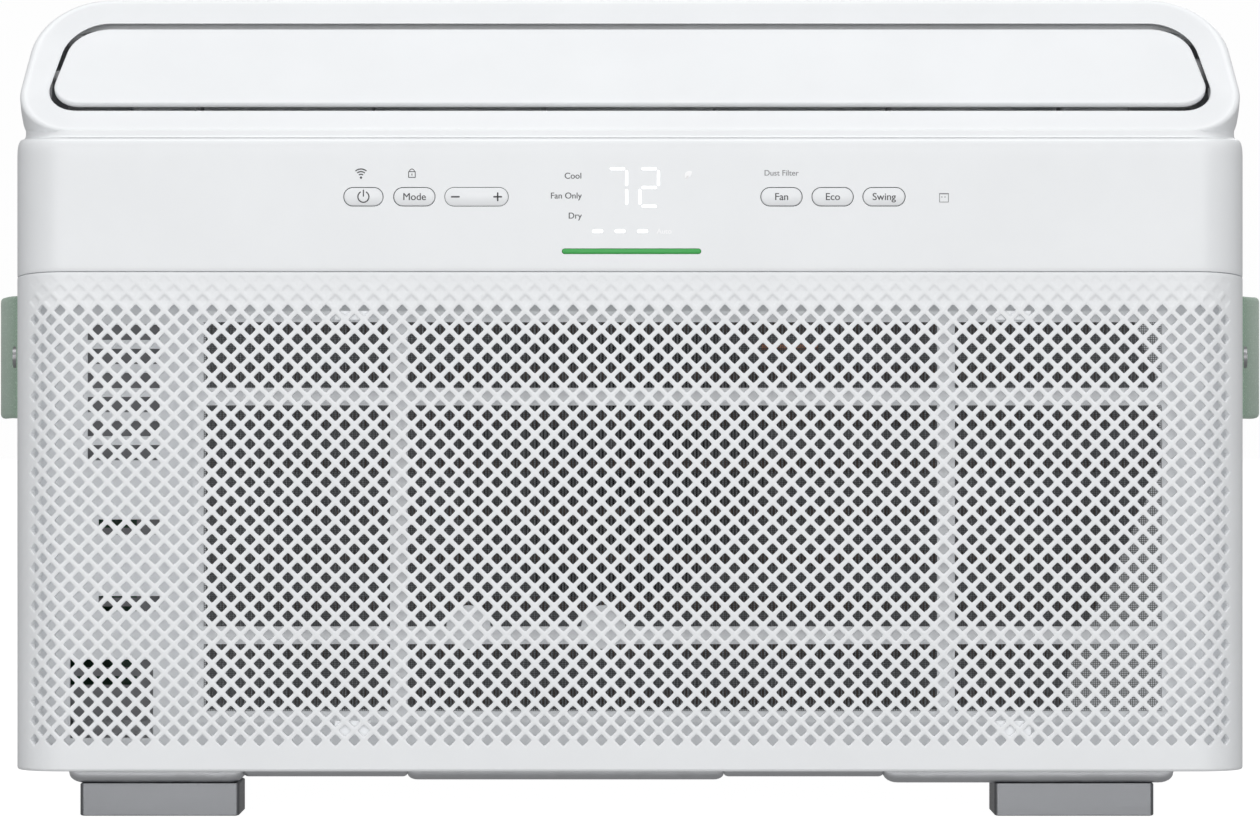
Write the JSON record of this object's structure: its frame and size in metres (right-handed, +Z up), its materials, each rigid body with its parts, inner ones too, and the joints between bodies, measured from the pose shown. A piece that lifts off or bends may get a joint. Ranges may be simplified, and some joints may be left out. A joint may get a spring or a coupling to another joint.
{
  "type": "window air conditioner",
  "caption": "Box-shaped window air conditioner with a diamond-pattern intake grille that tilts open, a tilted top outlet with flap and louvres, push buttons and side handles.",
  "frame": {"origin": "middle of the bounding box's bottom face, on the sill plane under the feet", "axes": "+Z up, front (room side) towards -Y, +X to the right as seen from the room"},
  "size_m": [0.598, 0.59, 0.3758],
  "materials": {
    "white_plastic": "fine satin moulding",
    "grille_plastic": "fine satin moulding",
    "grey_plastic": "satin moulding",
    "painted_steel": "powder coat",
    "galvanised": "zinc coated sheet",
    "foot_metal": "fine brushed",
    "filter_net": "fine woven nylon net",
    "handle_webbing": "woven, flecked",
    "motor_steel": "satin",
    "display_lens": "polished",
    "light_bar": "diffusing",
    "circuit_board": "solder mask",
    "coil_fins": "satin",
    "copper": "drawn copper tube",
    "black_plastic": "satin moulding",
    "black_paint": "semi-gloss",
    "rubber": "matt",
    "screw_steel": "zinc plated"
  },
  "bodies": {
    "chassis": {"base_pan": "galvanised", "cabinet_wrap": "painted_steel", "rear_guard": "painted_steel", "front_frame": "grey_plastic", "control_fascia": "white_plastic", "outlet_housing": "white_plastic", "handle_left": "handle_webbing", "handle_right": "handle_webbing", "foot_front_left": "foot_metal", "foot_front_right": "foot_metal", "feet_rear": "foot_metal", "flap_motor": "motor_steel", "swing_motor": "motor_steel", "display_window": "display_lens", "led_bar": "light_bar", "display_board": "circuit_board", "evaporator_fins": "coil_fins", "evaporator_tubes": "copper", "condenser_fins": "coil_fins", "condenser_tubes": "copper", "fan_motor": "motor_steel", "motor_bracket": "galvanised", "blower_scroll": "grey_plastic", "fan_shroud": "grey_plastic", "bulkhead": "galvanised", "compressor": "black_paint", "compressor_grommets": "rubber", "accumulator": "black_paint", "discharge_line": "copper", "suction_line": "copper", "capillary_line": "copper", "control_box": "grey_plastic", "inverter_board": "circuit_board", "box_cover": "grey_plastic", "temp_sensor": "copper", "drain_plug": "rubber", "cord_inlet": "rubber", "drip_tray": "grey_plastic", "cabinet_screws": "screw_steel", "compressor_nuts": "screw_steel"},
    "front_grille": {"front_grille": "grille_plastic", "filter_frame": "grey_plastic", "filter_mesh": "filter_net"},
    "air_flap": {"air_flap": "white_plastic"},
    "fan_rotor": {"motor_shaft": "motor_steel", "blower_wheel": "black_plastic", "condenser_fan": "black_plastic"},
    "vane_link": {"vane_link": "grey_plastic"},
    "vane_1": {"vane_1": "grey_plastic"},
    "vane_2": {"vane_2": "grey_plastic"},
    "vane_3": {"vane_3": "grey_plastic"},
    "vane_4": {"vane_4": "grey_plastic"},
    "vane_5": {"vane_5": "grey_plastic"},
    "vane_6": {"vane_6": "grey_plastic"},
    "button_power": {"button_power": "white_plastic"},
    "button_mode": {"button_mode": "white_plastic"},
    "button_temperature": {"button_temperature": "white_plastic"},
    "button_fan": {"button_fan": "white_plastic"},
    "button_eco": {"button_eco": "white_plastic"},
    "button_swing": {"button_swing": "white_plastic"}
  },
  "joints": [
    {"name": "grille_tilt", "type": "hinge", "parent": "chassis", "child": "front_grille", "pos_m": [0, -0.27, 0.027], "axis": [1, 0, 0], "range_deg": [0, 30]},
    {"name": "flap_hinge", "type": "hinge", "parent": "chassis", "child": "air_flap", "pos_m": [0, -0.25197, 0.33976], "axis": [-1, 0, 0], "range_deg": [0, 50]},
    {"name": "rotor_spin", "type": "hinge", "parent": "chassis", "child": "fan_rotor", "pos_m": [-0.01, -0.031, 0.17], "axis": [0, 1, 0], "continuous": true},
    {"name": "vane_1_pivot", "type": "hinge", "parent": "chassis", "child": "vane_1", "pos_m": [-0.2, -0.23642, 0.31572], "axis": [0, 0.7071, 0.7071], "range_deg": [-35, 35]},
    {"name": "vane_2_pivot", "type": "hinge", "parent": "chassis", "child": "vane_2", "pos_m": [-0.12, -0.23642, 0.31572], "axis": [0, 0.7071, 0.7071], "range_deg": [-35, 35]},
    {"name": "vane_3_pivot", "type": "hinge", "parent": "chassis", "child": "vane_3", "pos_m": [-0.04, -0.23642, 0.31572], "axis": [0, 0.7071, 0.7071], "range_deg": [-35, 35]},
    {"name": "vane_4_pivot", "type": "hinge", "parent": "chassis", "child": "vane_4", "pos_m": [0.04, -0.23642, 0.31572], "axis": [0, 0.7071, 0.7071], "range_deg": [-35, 35]},
    {"name": "vane_5_pivot", "type": "hinge", "parent": "chassis", "child": "vane_5", "pos_m": [0.12, -0.23642, 0.31572], "axis": [0, 0.7071, 0.7071], "range_deg": [-35, 35]},
    {"name": "vane_6_pivot", "type": "hinge", "parent": "chassis", "child": "vane_6", "pos_m": [0.2, -0.23642, 0.31572], "axis": [0, 0.7071, 0.7071], "range_deg": [-35, 35]},
    {"name": "vane_link_slide", "type": "slide", "parent": "chassis", "child": "vane_link", "axis": [1, 0, 0], "range_m": [-0.0074, 0.0074]},
    {"name": "power_press", "type": "slide", "parent": "chassis", "child": "button_power", "axis": [0, 1, 0], "range_m": [0, 0.001], "stiffness_N_per_m": 600, "springref_m": -0.0008},
    {"name": "mode_press", "type": "slide", "parent": "chassis", "child": "button_mode", "axis": [0, 1, 0], "range_m": [0, 0.001], "stiffness_N_per_m": 600, "springref_m": -0.0008},
    {"name": "temperature_rock", "type": "hinge", "parent": "chassis", "child": "button_temperature", "pos_m": [-0.0696, -0.288, 0.2827], "axis": [0, 0, 1], "range_deg": [-2, 2], "stiffness_Nm_per_rad": 0.5},
    {"name": "fan_press", "type": "slide", "parent": "chassis", "child": "button_fan", "axis": [0, 1, 0], "range_m": [0, 0.001], "stiffness_N_per_m": 600, "springref_m": -0.0008},
    {"name": "eco_press", "type": "slide", "parent": "chassis", "child": "button_eco", "axis": [0, 1, 0], "range_m": [0, 0.001], "stiffness_N_per_m": 600, "springref_m": -0.0008},
    {"name": "swing_press", "type": "slide", "parent": "chassis", "child": "button_swing", "axis": [0, 1, 0], "range_m": [0, 0.001], "stiffness_N_per_m": 600, "springref_m": -0.0008}
  ],
  "couplings": [
    {"joint": "vane_1_pivot", "follows": "vane_link_slide", "rad_per_m": -81.97},
    {"joint": "vane_2_pivot", "follows": "vane_link_slide", "rad_per_m": -81.97},
    {"joint": "vane_3_pivot", "follows": "vane_link_slide", "rad_per_m": -81.97},
    {"joint": "vane_4_pivot", "follows": "vane_link_slide", "rad_per_m": -81.97},
    {"joint": "vane_5_pivot", "follows": "vane_link_slide", "rad_per_m": -81.97},
    {"joint": "vane_6_pivot", "follows": "vane_link_slide", "rad_per_m": -81.97}
  ]
}
